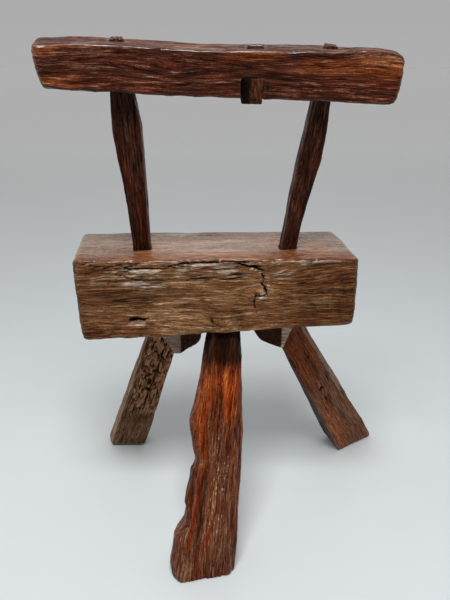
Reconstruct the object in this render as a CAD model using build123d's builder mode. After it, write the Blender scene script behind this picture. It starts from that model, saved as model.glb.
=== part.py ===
# Rustic three-legged back stool, hewn from oak.
# A beam-block seat, two spindles carrying a back rail, one rear leg and two splayed front legs.
# Millimetres. +Z up, +Y the way the sitter faces, -X the sitter's left.
# The origin is on the floor, under the middle of the whole stool.

import os
from math import cos, radians, sin, tan

from build123d import *

# ---------------------------------------------------------------- seat block
SEAT_TOP = 445.0
SEAT_REAR_Y = -66.0
SEAT_FRONT_Y = 73.0
SEAT_LEFT_X = -241.0
SEAT_RIGHT_X = 143.0
SEAT_SKEW = 8.0                 # the front face sits this much further left than the rear face
SEAT_TWIST = 1.0                # the right end sits this much nearer the rear than the middle
SEAT_UNDER_LEFT = 327.5         # height of the underside at the left end
SEAT_UNDER_RIGHT = 347.5        # and at the right end: the block is thinner there
SEAT_CORNER_R = 7.0
SEAT_EDGE_R = 5.0

# ---------------------------------------------------------------- back: lean and rail
BACK_LEAN = 11.1                # degrees, the back leans away from the sitter
RAIL_DROOP = 2.6                # degrees, the rail hangs lower at the right
RAIL_X = -50.0                  # reference point on the rail's lower rear edge
RAIL_Y = -79.0
RAIL_Z = 652.5
RAIL_THICK = 46.0
RAIL_LEFT = 209.0               # from the reference point to each end of the rear face
RAIL_RIGHT = 218.0
RAIL_HEIGHT_LEFT = 50.0
RAIL_HEIGHT_MID = 53.5
RAIL_HEIGHT_DIP = 52.5          # at the reference point
RAIL_HEIGHT_HUMP = 57.0
RAIL_HUMP_X = 148.0             # from the reference point to the hump
RAIL_HEIGHT_RIGHT = 51.0
RAIL_UNDERCUT_LEFT = 7.0        # the ends slope in towards the lower edge
RAIL_UNDERCUT_RIGHT = 3.0
RAIL_LEFT_SKEW = 12.0           # degrees, the left end is cut longer at the front
RAIL_RIGHT_SKEW = 12.0          # degrees, the right end is cut shorter at the front

# ---------------------------------------------------------------- back spindles
SPINDLE_FOOT_Y = -8.0           # spindle axis where it enters the seat top
SPINDLE_DEPTH = 22.0            # front-to-back thickness at the seat
SPINDLE_DEPTH_TOP = 20.0
SPINDLE_SOCKET = 58.0           # depth of the blind mortise in the seat
SPINDLE_TAPER = 5.0             # the foot narrows this much on its way to the socket floor
SPINDLE_TENON = 15.5
SPINDLE_PROUD = 3.5             # the tenon stands this far above the rail
SPINDLE_STATIONS = (0.0, 0.33, 0.62, 0.78, 1.0)   # shares of the way from the seat to the rail
# each spindle: foot, tilt from upright in degrees, widths and sideways bow at the stations,
# and how tall the rail is where its tenon goes through
LEFT_SPINDLE = {
    "foot_x": -154.0,
    "tilt": -2.4,
    "widths": (23.5, 28.0, 31.5, 31.0, 24.0),
    "bow": (0.0, 1.0, 1.0, 1.0, 0.0),
    "rail_height": RAIL_HEIGHT_MID,
}
RIGHT_SPINDLE = {
    "foot_x": 54.0,
    "tilt": 7.4,
    "widths": (21.5, 22.5, 26.0, 25.0, 20.5),
    "bow": (0.0, -1.0, 2.0, 2.5, 1.0),
    "rail_height": RAIL_HEIGHT_HUMP,
}

# ---------------------------------------------------------------- old centre tenon in the rail
STUB_X = -4.0
STUB_WIDTH = 19.0
STUB_GAP = 6.0                  # the old mortise is this much wider, on the left
STUB_FACE_HEIGHT = 24.0         # bared height on the rear face, above the rail's lower edge
STUB_FACE_DEPTH = 36.0
STUB_BELOW = 5.0                # it stands this far below the rail
STUB_SKIN = 19.0                # wood left behind the rear face above the bared part
STUB_RECESS = 1.0

# ---------------------------------------------------------------- legs
TENON_R = 14.0
TENON_LENGTH = 60.0
TENON_ROOT = 16.0               # the tenon starts this far inside the leg
LEG_HEAD_Z = 352.0              # legs are made to here, then cut to the slanting underside
REAR_FACE_FOOT_Y = -187.0       # rear face of the rear leg, at the floor
REAR_FACE_RISE = 0.392          # and how far it comes forward per unit of height
REAR_LEG_DEPTH_FOOT = 62.0
REAR_LEG_DEPTH_HEAD = 50.0
# height, left edge, right edge; the flare low on the left is the stump of a branch
REAR_LEG_STATIONS = (
    (0.0, -113.0, -29.0),
    (22.0, -120.0, -27.0),
    (50.0, -116.0, -25.0),
    (88.0, -96.0, -22.0),
    (150.0, -86.0, -17.0),
    (210.0, -88.0, -14.0),
    (265.0, -75.0, -15.0),
    (LEG_HEAD_Z, -60.0, -18.0),
)
REAR_LEG_BEVEL = 9.0
# front legs: four corners at the floor and at LEG_HEAD_Z, rear ones first
FRONT_LEFT_FOOT = ((-253, 140), (-186, 138), (-194, 182), (-261, 171))
FRONT_LEFT_HEAD = ((-136, 16), (-88, 15), (-89, 56), (-136, 46))
FRONT_RIGHT_FOOT = ((187, 108), (262, 158), (231, 187), (167, 162))
FRONT_RIGHT_HEAD = ((11, 12), (61, 45), (56, 68), (12, 57))

# ---------------------------------------------------------------- brace blocks and nails
BRACE_REAR_Y = -40.0
BRACE_FRONT_Y = -4.0
BRACE_TOP_Z = 352.0             # blocks are made to here, then cut to the slanting underside
# each block: x of the corner between its sawn rear end and its slanting side, x where that side
# meets the front, x of the outer side at the bottom and at the top, height of the bottom, nails
LEFT_BRACE = {
    "corner_x": -103.0,
    "tip_x": -72.0,
    "foot_x": -112.0,
    "top_x": -151.0,
    "bottom": 291.0,
    "nails": ((-104.0, -25.0), (-91.0, -11.0)),
}
RIGHT_BRACE = {
    "corner_x": 45.0,
    "tip_x": 5.0,
    "foot_x": 49.0,
    "top_x": 69.0,
    "bottom": 298.0,
    "nails": ((42.0, -25.0), (29.0, -11.0)),
}
NAIL_R = 2.2
NAIL_BITE = 30.0                # how far a nail goes into the seat
NAIL_HEAD = 8.0
NAIL_HEAD_THICK = 2.0
NAIL_PLAY = 0.1

# ---------------------------------------------------------------- wedges
WEDGE_LENGTH = 24.0
WEDGE_THICK = 4.6
WEDGE_TIP = 1.2
LEG_WEDGE_WIDTH = 25.0
SPINDLE_WEDGE_WIDTH = 14.0

FIT = 0.2                       # play on each side of a tenon in its mortise
END_GAP = 1.0                   # a blind mortise is this much deeper than its tenon
OVERRUN = 4.0                   # cutters run this far past the faces they open

os.makedirs("parts", exist_ok=True)


def unit(x, y, z):
    return Vector(x, y, z).normalized()


def middle(points):
    return (sum(p[0] for p in points) / len(points), sum(p[1] for p in points) / len(points))


# ---------------------------------------------------------------- shared planes and axes
under_slope = (SEAT_UNDER_RIGHT - SEAT_UNDER_LEFT) / (SEAT_RIGHT_X - SEAT_LEFT_X)
underside = Plane(
    origin=(SEAT_LEFT_X, 0, SEAT_UNDER_LEFT),
    x_dir=(1, 0, under_slope),
    z_dir=(-under_slope, 0, 1),
)

up_the_back = Vector(0, -sin(radians(BACK_LEAN)), cos(radians(BACK_LEAN)))
rail_face = Plane(
    origin=(RAIL_X, RAIL_Y, RAIL_Z),
    x_dir=Vector(1, 0, 0) * cos(radians(RAIL_DROOP)) - up_the_back * sin(radians(RAIL_DROOP)),
    z_dir=(0, -cos(radians(BACK_LEAN)), -sin(radians(BACK_LEAN))),
)
rail_under = Plane(origin=rail_face.origin, x_dir=rail_face.x_dir, z_dir=rail_face.y_dir)


def spindle_plane(spindle, along):
    """Cross-section plane of a spindle, a distance along its axis from the seat top."""
    axis = unit(tan(radians(spindle["tilt"])), -tan(radians(BACK_LEAN)), 1)
    foot = Vector(spindle["foot_x"], SPINDLE_FOOT_Y, SEAT_TOP)
    sideways = Vector(1, 0, 0) - axis * axis.X
    return Plane(origin=foot + axis * along, x_dir=sideways.normalized(), z_dir=axis)


def distance_to_rail(spindle):
    """Length of a spindle's axis from the seat top to the rail's underside."""
    foot = spindle_plane(spindle, 0)
    return (rail_under.origin - foot.origin).dot(rail_under.z_dir) / foot.z_dir.dot(rail_under.z_dir)


def spindle_end(spindle):
    """Plane across the end of a spindle's tenon, just above the rail."""
    return spindle_plane(spindle, distance_to_rail(spindle) + spindle["rail_height"] + SPINDLE_PROUD)


def tenon_plane(foot, head):
    """Plane across a leg's axis where the axis meets the seat's underside."""
    foot_x, foot_y = middle(foot)
    head_x, head_y = middle(head)
    axis = unit(head_x - foot_x, head_y - foot_y, LEG_HEAD_Z)
    start = Vector(foot_x, foot_y, 0)
    reach = (underside.origin - start).dot(underside.z_dir) / axis.dot(underside.z_dir)
    sideways = Vector(1, 0, 0) - axis * axis.X
    return Plane(origin=start + axis * reach, x_dir=sideways.normalized(), z_dir=axis)


def rear_leg_corners(height, left, right):
    """Rear leg section: a hewn blank bevelled along its rear edges."""
    rear = REAR_FACE_FOOT_Y + REAR_FACE_RISE * height
    depth = REAR_LEG_DEPTH_FOOT + (REAR_LEG_DEPTH_HEAD - REAR_LEG_DEPTH_FOOT) * height / LEG_HEAD_Z
    return [
        (left + REAR_LEG_BEVEL, rear),
        (right - REAR_LEG_BEVEL, rear),
        (right, rear + REAR_LEG_BEVEL),
        (right - REAR_LEG_BEVEL / 2, rear + depth),
        (left + REAR_LEG_BEVEL, rear + depth),
        (left, rear + depth / 2),
        (left, rear + REAR_LEG_BEVEL * 1.5),
    ]


rear_leg_sections = [(z, rear_leg_corners(z, left, right)) for z, left, right in REAR_LEG_STATIONS]
rear_tenon = tenon_plane(rear_leg_sections[0][1], rear_leg_sections[-1][1])
front_left_sections = ((0.0, FRONT_LEFT_FOOT), (LEG_HEAD_Z, FRONT_LEFT_HEAD))
front_right_sections = ((0.0, FRONT_RIGHT_FOOT), (LEG_HEAD_Z, FRONT_RIGHT_HEAD))
front_left_tenon = tenon_plane(FRONT_LEFT_FOOT, FRONT_LEFT_HEAD)
front_right_tenon = tenon_plane(FRONT_RIGHT_FOOT, FRONT_RIGHT_HEAD)
leg_tenons = (rear_tenon, front_left_tenon, front_right_tenon)


def underside_height(x):
    return SEAT_UNDER_LEFT + under_slope * (x - SEAT_LEFT_X)


# ---------------------------------------------------------------- seat block
with BuildPart() as seat_block:
    with BuildSketch(Plane.XY.offset(SEAT_TOP)):
        with BuildLine():
            Polyline(
                (SEAT_LEFT_X, SEAT_REAR_Y + SEAT_TWIST),
                (SEAT_RIGHT_X, SEAT_REAR_Y - SEAT_TWIST),
                (SEAT_RIGHT_X - SEAT_SKEW, SEAT_FRONT_Y + SEAT_TWIST),
                (SEAT_LEFT_X - SEAT_SKEW, SEAT_FRONT_Y - SEAT_TWIST),
                close=True,
            )
        make_face()
    extrude(amount=SEAT_UNDER_LEFT - SEAT_TOP - OVERRUN)
    split(bisect_by=underside, keep=Keep.TOP)
    fillet(seat_block.edges().filter_by(Axis.Z), radius=SEAT_CORNER_R)
    fillet(seat_block.faces().sort_by(Axis.Z)[-1].edges(), radius=SEAT_EDGE_R)
    # blind round mortises for the legs
    for tenon in leg_tenons:
        with BuildSketch(tenon.offset(-TENON_ROOT)):
            Circle(TENON_R + FIT)
        extrude(amount=TENON_ROOT + TENON_LENGTH + END_GAP, mode=Mode.SUBTRACT)
    # blind tapered mortises for the spindles
    for spindle in (LEFT_SPINDLE, RIGHT_SPINDLE):
        mouth = spindle["widths"][0] + 2 * FIT
        for along, narrowing in ((2 * OVERRUN, 0), (0, 0), (-SPINDLE_SOCKET - END_GAP, SPINDLE_TAPER)):
            with BuildSketch(spindle_plane(spindle, along)):
                Rectangle(mouth - narrowing, SPINDLE_DEPTH + 2 * FIT - narrowing)
        loft(ruled=True, mode=Mode.SUBTRACT)
    # holes that the brace nails are driven into
    for x, y in LEFT_BRACE["nails"] + RIGHT_BRACE["nails"]:
        with BuildSketch(Plane.XY.offset(underside_height(x) + NAIL_BITE)):
            with Locations((x, y)):
                Circle(NAIL_R + NAIL_PLAY)
        extrude(amount=-NAIL_BITE - OVERRUN, mode=Mode.SUBTRACT)


# ---------------------------------------------------------------- back rail
def rail_end(along, skew):
    """Cutting plane across the rail, turned from square by the skew."""
    square = rail_face.x_dir * cos(radians(skew))
    turned = rail_face.z_dir * sin(radians(skew))
    return Plane(origin=rail_face.from_local_coords((along, 0, 0)), z_dir=square - turned)


stub_along = STUB_X - RAIL_X
with BuildPart() as back_rail:
    with BuildSketch(rail_face):
        with BuildLine():
            Polyline(
                (-RAIL_LEFT - OVERRUN, RAIL_HEIGHT_LEFT),
                (-RAIL_LEFT + RAIL_UNDERCUT_LEFT, 0),
                (RAIL_RIGHT - RAIL_UNDERCUT_RIGHT, 0),
                (RAIL_RIGHT + OVERRUN, RAIL_HEIGHT_RIGHT),
            )
            Spline(
                (-RAIL_LEFT - OVERRUN, RAIL_HEIGHT_LEFT),
                (-RAIL_LEFT / 2, RAIL_HEIGHT_MID),
                (0, RAIL_HEIGHT_DIP),
                (RAIL_HUMP_X, RAIL_HEIGHT_HUMP),
                (RAIL_RIGHT + OVERRUN, RAIL_HEIGHT_RIGHT),
            )
        make_face()
    extrude(amount=-RAIL_THICK)
    # hewn ends
    split(bisect_by=rail_end(-RAIL_LEFT, RAIL_LEFT_SKEW), keep=Keep.TOP)
    split(bisect_by=rail_end(RAIL_RIGHT, RAIL_RIGHT_SKEW), keep=Keep.BOTTOM)
    # through mortises for the spindle tenons
    for spindle in (LEFT_SPINDLE, RIGHT_SPINDLE):
        with BuildSketch(spindle_plane(spindle, distance_to_rail(spindle) - OVERRUN)):
            Rectangle(SPINDLE_TENON + 2 * FIT, SPINDLE_TENON + 2 * FIT)
        extrude(amount=RAIL_HEIGHT_HUMP + 4 * OVERRUN, mode=Mode.SUBTRACT)
    # old centre mortise, broken open on the rear face
    with BuildSketch(rail_face):
        with Locations((stub_along - STUB_GAP / 2, (STUB_FACE_HEIGHT - OVERRUN) / 2)):
            Rectangle(STUB_WIDTH + STUB_GAP, STUB_FACE_HEIGHT + OVERRUN)
    extrude(amount=-STUB_FACE_DEPTH - FIT, mode=Mode.SUBTRACT)
    with BuildSketch(rail_face.offset(-STUB_SKIN)):
        with Locations((stub_along, RAIL_HEIGHT_HUMP / 2)):
            Rectangle(STUB_WIDTH + 2 * FIT, RAIL_HEIGHT_HUMP + OVERRUN)
    extrude(amount=STUB_SKIN - STUB_FACE_DEPTH - FIT, mode=Mode.SUBTRACT)

with BuildPart() as centre_spindle_stub:
    with BuildSketch(rail_face.offset(-STUB_RECESS)):
        with Locations((stub_along, (STUB_FACE_HEIGHT - FIT - STUB_BELOW) / 2)):
            Rectangle(STUB_WIDTH, STUB_FACE_HEIGHT - FIT + STUB_BELOW)
    extrude(amount=STUB_RECESS - STUB_FACE_DEPTH)
    with BuildSketch(rail_face.offset(-STUB_SKIN - FIT)):
        with Locations((stub_along, (RAIL_HEIGHT_DIP) / 2)):
            Rectangle(STUB_WIDTH, RAIL_HEIGHT_DIP)
    extrude(amount=STUB_SKIN + FIT - STUB_FACE_DEPTH)


# ---------------------------------------------------------------- wedges
# Profile of a wedge seen edge-on, thick end at the origin and tip below it.
wedge_outline = (
    (-WEDGE_THICK / 2, 0),
    (-WEDGE_TIP / 2, -WEDGE_LENGTH),
    (WEDGE_TIP / 2, -WEDGE_LENGTH),
    (WEDGE_THICK / 2, 0),
)


def wedge_side(end):
    """Plane through a tenon's axis that shows its wedge edge-on, from the tenon's end plane."""
    return Plane(origin=end.origin, x_dir=end.x_dir, z_dir=-end.y_dir)


def make_wedge(end, width):
    with BuildPart() as wedge:
        with BuildSketch(wedge_side(end)):
            with BuildLine():
                Polyline(*wedge_outline, close=True)
            make_face()
        extrude(amount=width / 2, both=True)
    return wedge


# ---------------------------------------------------------------- back spindles
def make_spindle(spindle):
    """Tapered foot in the seat, flat-sided body, and a wedged tenon through the rail."""
    reach = distance_to_rail(spindle)
    with BuildPart() as body:
        with BuildSketch(spindle_plane(spindle, -SPINDLE_SOCKET)):
            Rectangle(spindle["widths"][0] - SPINDLE_TAPER, SPINDLE_DEPTH - SPINDLE_TAPER)
        for share, width, bow in zip(SPINDLE_STATIONS, spindle["widths"], spindle["bow"]):
            past = OVERRUN if share == 1.0 else 0.0
            with BuildSketch(spindle_plane(spindle, reach * share + past)):
                with Locations((bow, 0)):
                    Rectangle(width, SPINDLE_DEPTH + (SPINDLE_DEPTH_TOP - SPINDLE_DEPTH) * share)
        loft(ruled=True)
        split(bisect_by=rail_under, keep=Keep.BOTTOM)
        with BuildSketch(spindle_plane(spindle, reach - OVERRUN)):
            Rectangle(SPINDLE_TENON, SPINDLE_TENON)
        extrude(amount=OVERRUN + spindle["rail_height"] + SPINDLE_PROUD)
        # the tenon is split front to back by its wedge
        with BuildSketch(wedge_side(spindle_end(spindle))):
            with BuildLine():
                Polyline(*wedge_outline, close=True)
            make_face()
        extrude(amount=SPINDLE_TENON, both=True, mode=Mode.SUBTRACT)
    return body


# ---------------------------------------------------------------- legs
def make_leg(sections, tenon):
    """Hewn leg cut to the seat's underside, with a round tenon slotted for a fox wedge."""
    with BuildPart() as leg:
        for height, corners in sections:
            with BuildSketch(Plane.XY.offset(height)):
                with BuildLine():
                    Polyline(*corners, close=True)
                make_face()
        loft(ruled=True)
        split(bisect_by=underside, keep=Keep.BOTTOM)
        with BuildSketch(tenon.offset(-TENON_ROOT)):
            Circle(TENON_R)
        extrude(amount=TENON_ROOT + TENON_LENGTH)
        with BuildSketch(wedge_side(tenon.offset(TENON_LENGTH))):
            with BuildLine():
                Polyline(*wedge_outline, close=True)
            make_face()
        extrude(amount=TENON_R + OVERRUN, both=True, mode=Mode.SUBTRACT)
    return leg


# ---------------------------------------------------------------- brace blocks and nails
def make_brace(brace):
    """Block under the seat: sawn rear end, outer side sloping up and out, inner side cut slantwise."""
    toward_tip = Vector(brace["tip_x"] - brace["corner_x"], BRACE_FRONT_Y - BRACE_REAR_Y, 0)
    keep = Keep.TOP if brace["tip_x"] > brace["corner_x"] else Keep.BOTTOM
    slanting_side = Plane(
        origin=(brace["corner_x"], BRACE_REAR_Y, 0),
        x_dir=toward_tip.normalized(),
        z_dir=(-toward_tip.Y, toward_tip.X, 0),
    )
    with BuildPart() as block:
        with BuildSketch(Plane(origin=(0, BRACE_REAR_Y, 0), x_dir=(-1, 0, 0), z_dir=(0, 1, 0))):
            with BuildLine():
                Polyline(
                    (-brace["tip_x"], brace["bottom"]),
                    (-brace["tip_x"], BRACE_TOP_Z),
                    (-brace["top_x"], BRACE_TOP_Z),
                    (-brace["foot_x"], brace["bottom"]),
                    close=True,
                )
            make_face()
        extrude(amount=BRACE_FRONT_Y - BRACE_REAR_Y)
        split(bisect_by=slanting_side, keep=keep)
        split(bisect_by=underside, keep=Keep.BOTTOM)
        with BuildSketch(Plane.XY.offset(brace["bottom"] - OVERRUN)):
            with Locations(*brace["nails"]):
                Circle(NAIL_R + NAIL_PLAY)
        extrude(amount=BRACE_TOP_Z, mode=Mode.SUBTRACT)
    return block


def make_nails(brace):
    """The two square-headed nails driven up through one block into the seat."""
    bottom = brace["bottom"]
    with BuildPart() as driven:
        for x, y in brace["nails"]:
            with BuildSketch(Plane.XY.offset(bottom)):
                with Locations((x, y)):
                    Circle(NAIL_R)
            extrude(amount=underside_height(x) - bottom + NAIL_BITE)
        with BuildSketch(Plane.XY.offset(bottom)):
            with Locations(*brace["nails"]):
                Rectangle(NAIL_HEAD, NAIL_HEAD)
        extrude(amount=-NAIL_HEAD_THICK)
    return driven


# ---------------------------------------------------------------- every piece by name
pieces = {
    "seat_block": seat_block,
    "back_rail": back_rail,
    "centre_spindle_stub": centre_spindle_stub,
    "back_spindle_left": make_spindle(LEFT_SPINDLE),
    "back_spindle_right": make_spindle(RIGHT_SPINDLE),
    "spindle_wedge_left": make_wedge(spindle_end(LEFT_SPINDLE), SPINDLE_WEDGE_WIDTH),
    "spindle_wedge_right": make_wedge(spindle_end(RIGHT_SPINDLE), SPINDLE_WEDGE_WIDTH),
    "rear_leg": make_leg(rear_leg_sections, rear_tenon),
    "front_leg_left": make_leg(front_left_sections, front_left_tenon),
    "front_leg_right": make_leg(front_right_sections, front_right_tenon),
    "rear_leg_wedge": make_wedge(rear_tenon.offset(TENON_LENGTH), LEG_WEDGE_WIDTH),
    "front_leg_wedge_left": make_wedge(front_left_tenon.offset(TENON_LENGTH), LEG_WEDGE_WIDTH),
    "front_leg_wedge_right": make_wedge(front_right_tenon.offset(TENON_LENGTH), LEG_WEDGE_WIDTH),
    "brace_block_left": make_brace(LEFT_BRACE),
    "brace_block_right": make_brace(RIGHT_BRACE),
    "brace_nails_left": make_nails(LEFT_BRACE),
    "brace_nails_right": make_nails(RIGHT_BRACE),
}
for name, piece in pieces.items():
    piece.part.label = name
    export_step(piece.part, f"parts/{name}.step")
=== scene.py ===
"""The looks of a rustic three-legged back stool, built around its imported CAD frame.

Every visible wooden piece is a finely divided copy of its CAD solid, worn, hewn and checked by
displacement in mesh code. Each copy carries its bent grain and the fields named in FIELDS on its
points, and its wood material reads them, so that the cut marks and the colours agree. Lengths
inside the carving code are in millimetres. An offset picks one pattern of noise: the same offset
on the same piece gives the same pattern.
"""

import math

import bpy
import numpy as np
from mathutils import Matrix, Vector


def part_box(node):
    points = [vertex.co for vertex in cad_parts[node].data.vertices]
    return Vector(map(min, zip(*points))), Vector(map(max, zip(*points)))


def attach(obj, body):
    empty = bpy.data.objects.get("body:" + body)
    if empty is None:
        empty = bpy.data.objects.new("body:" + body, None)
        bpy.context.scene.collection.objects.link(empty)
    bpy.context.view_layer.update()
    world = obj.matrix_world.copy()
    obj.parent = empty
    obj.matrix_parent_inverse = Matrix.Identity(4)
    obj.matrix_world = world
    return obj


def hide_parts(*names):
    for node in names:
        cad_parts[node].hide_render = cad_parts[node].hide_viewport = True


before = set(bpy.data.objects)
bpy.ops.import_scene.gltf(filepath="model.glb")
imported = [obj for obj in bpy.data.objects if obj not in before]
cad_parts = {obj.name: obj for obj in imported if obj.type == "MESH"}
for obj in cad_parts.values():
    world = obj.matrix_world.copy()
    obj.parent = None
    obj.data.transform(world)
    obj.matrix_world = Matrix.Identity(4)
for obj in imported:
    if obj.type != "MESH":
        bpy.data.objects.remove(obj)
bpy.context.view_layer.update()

MM = 0.001
UP = np.array((0.0, 0.0, 1.0))
BACKWARD = np.array((0.0, -1.0, 0.0))  # the way the sitter's back points, towards the camera
RIGHTWARD = np.array((1.0, 0.0, 0.0))
COARSE = 1.0
FAR = 1e9  # longer than any distance on the stool, in millimetres

# ---- noise

CORNERS = np.array([(x, y, z) for x in (0, 1) for y in (0, 1) for z in (0, 1)])
DIRECTIONS = np.array(
    [(1, 1, 0), (-1, 1, 0), (1, -1, 0), (-1, -1, 0), (1, 0, 1), (-1, 0, 1),
     (1, 0, -1), (-1, 0, -1), (0, 1, 1), (0, -1, 1), (0, 1, -1), (0, -1, -1)], float
)
HASH_STRIDES = np.array((73856093, 19349663, 83492791))
HASH_SEED = 2654435
HASH_MIX = 1274126177
HASH_MASK = 0x7FFFFFFF


def noise(points, seed):
    """Smooth gradient noise, about -1 to 1, one value for each point."""
    cell = np.floor(points).astype(np.int64)
    inside = points - cell
    fade = inside**3 * (inside * (inside * 6 - 15) + 10)
    value = np.zeros(len(points))
    for corner in CORNERS:
        mixed = ((cell + corner) * HASH_STRIDES).sum(axis=1) + seed * HASH_SEED
        mixed = ((mixed ^ (mixed >> 13)) * HASH_MIX) & HASH_MASK
        slope = DIRECTIONS[(mixed ^ (mixed >> 16)) % len(DIRECTIONS)]
        weight = np.where(corner == 1, fade, 1 - fade).prod(axis=1)
        value += weight * ((inside - corner) * slope).sum(axis=1)
    return value


def fractal(points, seed, octaves=3):
    """Noise with finer and fainter copies of itself added."""
    total = np.zeros(len(points))
    for k in range(octaves):
        total += noise(points * 2**k, seed + 17 * k) / 2**k
    return total


def ramp(value, start, end):
    """0 before start, 1 after end, and smooth between. start may be the larger."""
    t = np.clip((value - start) / (end - start), 0, 1)
    return t * t * (3 - 2 * t)


def bump(value, centre, half):
    """1 at centre, fading to 0 at half away on either side."""
    return ramp(np.abs(value - centre), half, 0)


def along_path(points, path):
    """Each 2-D point's distance from a path, and how far along it the nearest place is, 0 to 1."""
    lengths = np.linalg.norm(np.diff(path, axis=0), axis=1)
    distance = np.full(len(points), FAR)
    progress = np.zeros(len(points))
    covered = 0.0
    for start, end, length in zip(path[:-1], path[1:], lengths):
        t = np.clip((points - start) @ (end - start) / length**2, 0, 1)
        away = np.linalg.norm(points - start - t[:, None] * (end - start), axis=1)
        closer = away < distance
        distance[closer] = away[closer]
        progress[closer] = (covered + t[closer] * length) / lengths.sum()
        covered += length
    return distance, progress


def link(thing):
    """Puts an object into the scene."""
    bpy.context.scene.collection.objects.link(thing)
    return thing


def mesh_points(mesh, kind="co"):
    """A mesh's points, or their normals, as rows."""
    flat = np.empty(len(mesh.vertices) * 3)
    mesh.vertices.foreach_get(kind, flat)
    return flat.reshape(-1, 3)


# ---- carving

# The darkening field holds painted shade in furrows, hollows, gaps and under the seat, and real
# stains and rings elsewhere. The crack field turns the colour near black: painted shade inside
# cracks and pits.
FIELDS = ("crack", "pale", "tone", "gloss", "shade", "red")
# the noise offsets that the carving methods use themselves
WAVES, TORN, CHIPPED, PITTED, HEWN, WANDER, RINGS, WORN = 20, 71, 73, 77, 100, 400, 500, 900
# how far apart the turns of a path are, along the grain and across it
EASY, JAGGED = (18.0, 6.0, 6.0), (6.0, 6.0, 6.0)


class Carving:
    """A finely divided copy of a CAD node, cut and tinted point by point.

    s runs from 0 to 1 along the grain (left to right, or foot to head) and t across it as the
    camera side shows it (bottom to top, or left to right). side holds how squarely each point
    faces the camera side, and top how squarely it faces up.
    """

    def __init__(self, node, voxel, along, seed):
        self.node = node
        self.seed = seed
        self.obj = divided_copy(node, voxel * COARSE * MM)
        mesh = self.obj.data
        count = len(mesh.vertices)
        self.points = mesh_points(mesh) / MM
        pairs = np.empty(len(mesh.edges) * 2, np.int64)
        mesh.edges.foreach_get("vertices", pairs)
        self.pairs = pairs.reshape(-1, 2)
        self.links = np.maximum(np.bincount(self.pairs.ravel(), minlength=count), 1)
        self.set_axes(np.asarray(along, float))
        self.rise = np.zeros(count)
        self.fields = {name: np.zeros(count) for name in FIELDS}
        self.warp_by(np.zeros((count, 3)))

    def set_axes(self, along):
        """The piece's own axes: along the grain, across it, and out of the camera side."""
        along = along / np.linalg.norm(along)
        out = BACKWARD - along * (BACKWARD @ along)
        out /= np.linalg.norm(out)
        across = np.cross(along, out)
        if abs(along @ RIGHTWARD) > abs(along @ UP):
            across = -across
        self.axes = np.array((along, across, out))
        self.local = self.points @ self.axes.T
        self.low = self.local.min(axis=0)
        self.size = self.local.max(axis=0) - self.low
        self.s = (self.local[:, 0] - self.low[0]) / self.size[0]
        self.t = (self.local[:, 1] - self.low[1]) / self.size[1]

    def warp_by(self, shift):
        """Bends the grain: shift is in millimetres on the piece's own axes."""
        self.grain = self.local + shift

    def relaxed(self, points, rounds):
        """The points, each moved towards its neighbours' mean, a number of times."""
        pull = 0.6
        points = points.copy()
        first, second = self.pairs.T
        for _ in range(rounds):
            for k in range(3):
                column = points[:, k]
                near = np.bincount(first, column[second], len(column))
                near = near + np.bincount(second, column[first], len(column))
                points[:, k] = column + pull * (near / self.links - column)
        return points

    def soften(self, light, heavy, patch, hold=0.0):
        """Rounds the edges, more in some places than in others, and notes where they are convex."""
        crisp = self.relaxed(self.points, light)
        worn = self.relaxed(crisp, heavy)
        share = ramp(noise(self.local / patch, self.seed + WORN), -0.25, 0.35) * (1 - hold)
        share = share[:, None]
        self.points = crisp * (1 - share) + worn * share
        self.measure_normals()
        rounder = self.relaxed(self.points, heavy)
        self.convex = ((self.points - rounder) * self.normals).sum(axis=1)

    def round_off(self, rounds, where):
        """Rounds the form further where the mask is 1."""
        rounder = self.relaxed(self.points, rounds)
        self.points += (rounder - self.points) * where[:, None]
        self.measure_normals()

    def measure_normals(self):
        """Notes which way the surface faces, as the points now stand."""
        mesh = self.obj.data
        mesh.vertices.foreach_set("co", (self.points * MM).ravel())
        mesh.update()
        self.normals = mesh_points(mesh, "normal")
        self.side = self.normals @ self.axes[2]
        self.top = self.normals @ UP

    def camera_side(self):
        """1 where the surface faces the camera side, and 0 where it turns away."""
        return ramp(self.side, 0.2, 0.55)

    def streaks(self, length, width, offset, octaves=3):
        """Noise drawn out along the grain: length along it, width across it."""
        return fractal(self.grain / (length, width, width), self.seed + offset, octaves)

    def spots(self, size, offset, octaves=2):
        """Noise that is the same size every way."""
        return fractal(self.local / size, self.seed + offset, octaves)

    def wavy(self, reach, length, width):
        """Bends the grain gently all over."""
        shift = np.zeros_like(self.local)
        places = self.local / (length, width, width)
        for k in (1, 2):
            shift[:, k] = reach * noise(places, self.seed + WAVES + k)
        self.warp_by(self.grain - self.local + shift)

    def away_from(self, s, t):
        """Each point's offset from a place on the camera side, in millimetres."""
        return self.local[:, :2] - self.low[:2] - self.size[:2] * (s, t)

    def eddy(self, s, t, length, width, push):
        """Parts the grain round a knot at s, t: lines above it pass over it, those below under."""
        away = self.away_from(s, t)
        near = np.exp(-((away[:, 0] / length) ** 2 + (away[:, 1] / width) ** 2))
        shift = self.grain - self.local
        shift[:, 1] -= push * near * np.tanh(away[:, 1] / (0.35 * width))
        self.warp_by(shift)

    def add(self, field, amount):
        """Raises a field towards 1 where amount is above 0."""
        held = self.fields[field]
        self.fields[field] = held + (1 - held) * np.clip(amount, 0, 1)

    def hew(self, facet, depth):
        """Broad shallow facets, as an adze or side axe leaves them."""
        self.rise += depth * self.streaks(facet * 1.8, facet, HEWN, 2)

    def fibres(self, length, width, depth, offset, where=1.0, tint=0.5):
        """Long raised fibres with furrows between them. The furrows are painted darker, as shade in
        them.
        """
        lines = self.streaks(length, width, offset, 3)
        furrow = ramp(lines, 0.05, -0.55)
        self.rise += depth * where * (lines * 0.5 - furrow * 0.6)
        self.add("shade", furrow * where * tint)

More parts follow.
